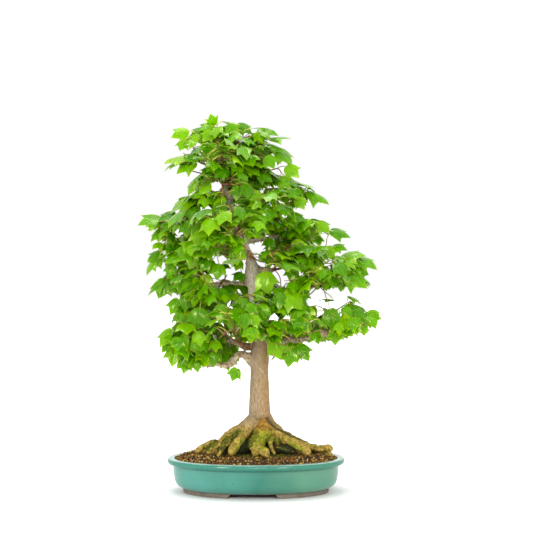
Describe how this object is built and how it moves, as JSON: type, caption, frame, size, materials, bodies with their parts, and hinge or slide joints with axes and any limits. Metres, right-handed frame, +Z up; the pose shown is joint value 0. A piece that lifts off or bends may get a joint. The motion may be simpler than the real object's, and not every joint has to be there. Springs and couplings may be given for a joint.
{
  "type": "potted trident maple bonsai",
  "caption": "Trident maple bonsai with a leaning trunk, spread surface roots, short boughs and layered masses of three-lobed leaves, in an oval glazed pot on two curved feet.",
  "frame": {"origin": "on the ground under the middle of the whole plant's box, almost under the middle of the pot", "axes": "+Z up along the trunk; +X to the right and -Y toward the viewer when the pot's long side faces the viewer"},
  "size_m": [0.4122, 0.3204, 0.6333],
  "materials": {
    "glazed_pot": "glossy teal glaze over stoneware, thin and darker where it breaks over edges",
    "unglazed_clay": "bare fired clay, matt grey-brown",
    "soil": "granular potting soil with tan, ochre and green grains",
    "trunk_bark": "pale grey-tan bark with fine upright flecks, olive and mossy on the surface roots",
    "bough_bark": "grey-brown bark, red-brown on the young twigs",
    "foliage": "fresh green three-lobed leaves, glossy above and paler below, on red-brown twigs"
  },
  "bodies": {
    "root": {"pot": "glazed_pot", "foot_left": "unglazed_clay", "foot_right": "unglazed_clay", "soil": "soil", "trunk": "trunk_bark", "bough_low_left": "bough_bark", "bough_shoulder_left": "bough_bark", "bough_low_right": "bough_bark", "bough_front_low": "bough_bark", "bough_back_low": "bough_bark", "bough_back_left": "bough_bark", "bough_back_right": "bough_bark", "bough_mid_right": "bough_bark", "bough_mid_left": "bough_bark", "bough_stub_right": "bough_bark", "bough_right_high": "bough_bark", "bough_hanging_left": "bough_bark", "bough_front_high": "bough_bark", "bough_back_high": "bough_bark", "bough_left_high": "bough_bark", "bough_right_upper": "bough_bark", "leaves_low_left": "foliage", "leaves_low_left_inner": "foliage", "leaves_left_lower": "foliage", "leaves_low_right": "foliage", "leaves_low_right_under": "foliage", "leaves_front_low": "foliage", "leaves_front_right_low": "foliage", "leaves_front_right": "foliage", "leaves_back_low": "foliage", "leaves_back_low_right": "foliage", "leaves_back_left_low": "foliage", "leaves_back_left": "foliage", "leaves_back_right": "foliage", "leaves_right": "foliage", "leaves_right_front": "foliage", "leaves_left": "foliage", "leaves_left_inner": "foliage", "leaves_front_right_mid": "foliage", "leaves_right_high": "foliage", "leaves_right_middle": "foliage", "leaves_back_right_high": "foliage", "leaves_left_middle": "foliage", "leaves_front_high": "foliage", "leaves_front_right_high": "foliage", "leaves_back_high": "foliage", "leaves_back_left_high": "foliage", "leaves_left_high": "foliage", "leaves_right_upper": "foliage", "leaves_upper_left": "foliage", "leaves_upper_front": "foliage", "leaves_upper_back": "foliage", "leaves_top_left": "foliage", "leaves_top_right": "foliage", "leaves_crown_left": "foliage", "leaves_crown_right": "foliage", "leaves_crown_front": "foliage", "leaves_crown_back": "foliage", "leaves_apex": "foliage"}
  },
  "joints": []
}
